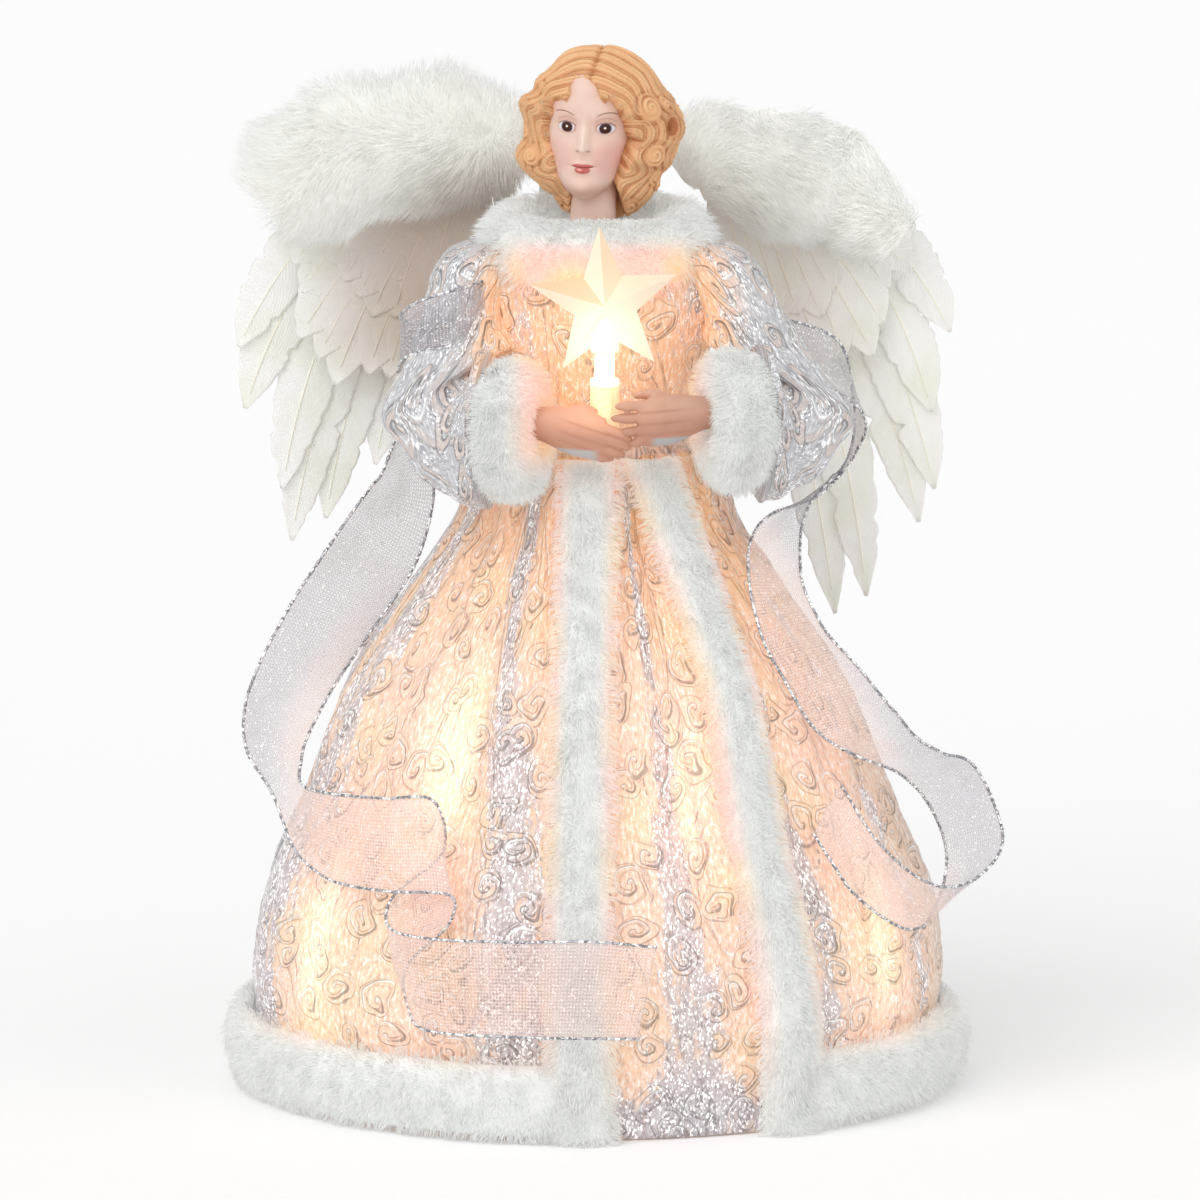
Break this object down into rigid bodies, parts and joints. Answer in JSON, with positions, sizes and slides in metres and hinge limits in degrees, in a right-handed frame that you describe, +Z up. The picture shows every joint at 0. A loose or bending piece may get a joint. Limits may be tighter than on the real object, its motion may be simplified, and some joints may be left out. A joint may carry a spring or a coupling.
{
  "type": "lighted angel tree topper",
  "caption": "Robed angel figure on a hollow cone that stands over the tip of a tree, with feathered wings that fold back and a lit star held between its hands.",
  "frame": {"origin": "on the axis of the cone, at the level of the rim that the figure stands on", "axes": "+Z up along the cone, -Y to the front of the figure, +X to the viewer's right"},
  "size_m": [0.2242, 0.2182, 0.306],
  "materials": {
    "cone_board": "matt white moulded cone",
    "card_tube": "plain card tube",
    "socket_white": "satin white",
    "lead_white": "satin white insulation",
    "lamp_glass": "clear warm-white lamp glass, lit",
    "brocade": "silver metallic brocade with raised scrolls, lit from behind",
    "silver_cloth": "glittering silver metallic cloth with raised scrolls",
    "fur_white": "white faux fur",
    "head_resin": "painted resin casting",
    "hand_resin": "painted resin casting",
    "star_acrylic": "clear faceted plastic, lit from inside",
    "foam": "plain white foam core",
    "organza": "sheer silver organza with beaded wire edges",
    "feather_white": "white natural feather",
    "down_white": "white marabou down",
    "steel_wire": "plain wire"
  },
  "bodies": {
    "root": {"base_cone": "cone_board", "tree_tip_tube": "card_tube", "light_socket_1": "socket_white", "light_socket_2": "socket_white", "light_socket_3": "socket_white", "light_socket_4": "socket_white", "light_socket_5": "socket_white", "light_socket_6": "socket_white", "light_bulb_1": "lamp_glass", "light_bulb_2": "lamp_glass", "light_bulb_3": "lamp_glass", "light_bulb_4": "lamp_glass", "light_bulb_5": "lamp_glass", "light_bulb_6": "lamp_glass", "light_wire": "lead_white", "skirt": "brocade", "front_panel": "brocade", "front_fur_left": "fur_white", "front_fur_right": "fur_white", "hem_fur": "fur_white", "arm_wire_left": "steel_wire", "arm_wire_right": "steel_wire", "torso_core": "foam", "bodice": "silver_cloth", "head": "head_resin", "sleeve_left": "silver_cloth", "cuff_left": "fur_white", "hand_left": "hand_resin", "sleeve_right": "silver_cloth", "cuff_right": "fur_white", "hand_right": "hand_resin", "fur_collar": "fur_white", "star_holder": "socket_white", "ribbon_left": "organza", "ribbon_right": "organza", "wing_back_plate": "socket_white"},
    "star_lamp": {"star_bulb": "lamp_glass"},
    "star": {"star_cap": "star_acrylic"},
    "wing_l": {"wing_wire_left": "steel_wire", "feather_left_1": "feather_white", "feather_left_2": "feather_white", "feather_left_3": "feather_white", "feather_left_4": "feather_white", "feather_left_5": "feather_white", "feather_left_6": "feather_white", "wing_coverts_left": "feather_white", "wing_fluff_left": "down_white"},
    "wing_r": {"wing_wire_right": "steel_wire", "feather_right_1": "feather_white", "feather_right_2": "feather_white", "feather_right_3": "feather_white", "feather_right_4": "feather_white", "feather_right_5": "feather_white", "feather_right_6": "feather_white", "wing_coverts_right": "feather_white", "wing_fluff_right": "down_white"}
  },
  "joints": [
    {"name": "lamp_lift", "type": "slide", "parent": "root", "child": "star_lamp", "axis": [0, 0, 1], "range_m": [0, 0.012]},
    {"name": "star_lift", "type": "slide", "parent": "star_lamp", "child": "star", "axis": [0, 0, 1], "range_m": [0, 0.022]},
    {"name": "wing_left_fold", "type": "hinge", "parent": "root", "child": "wing_l", "pos_m": [-0.014, 0.039, 0.252], "axis": [0, 0, -1], "range_deg": [0, 60]},
    {"name": "wing_right_fold", "type": "hinge", "parent": "root", "child": "wing_r", "pos_m": [0.014, 0.039, 0.252], "axis": [0, 0, 1], "range_deg": [0, 60]}
  ]
}
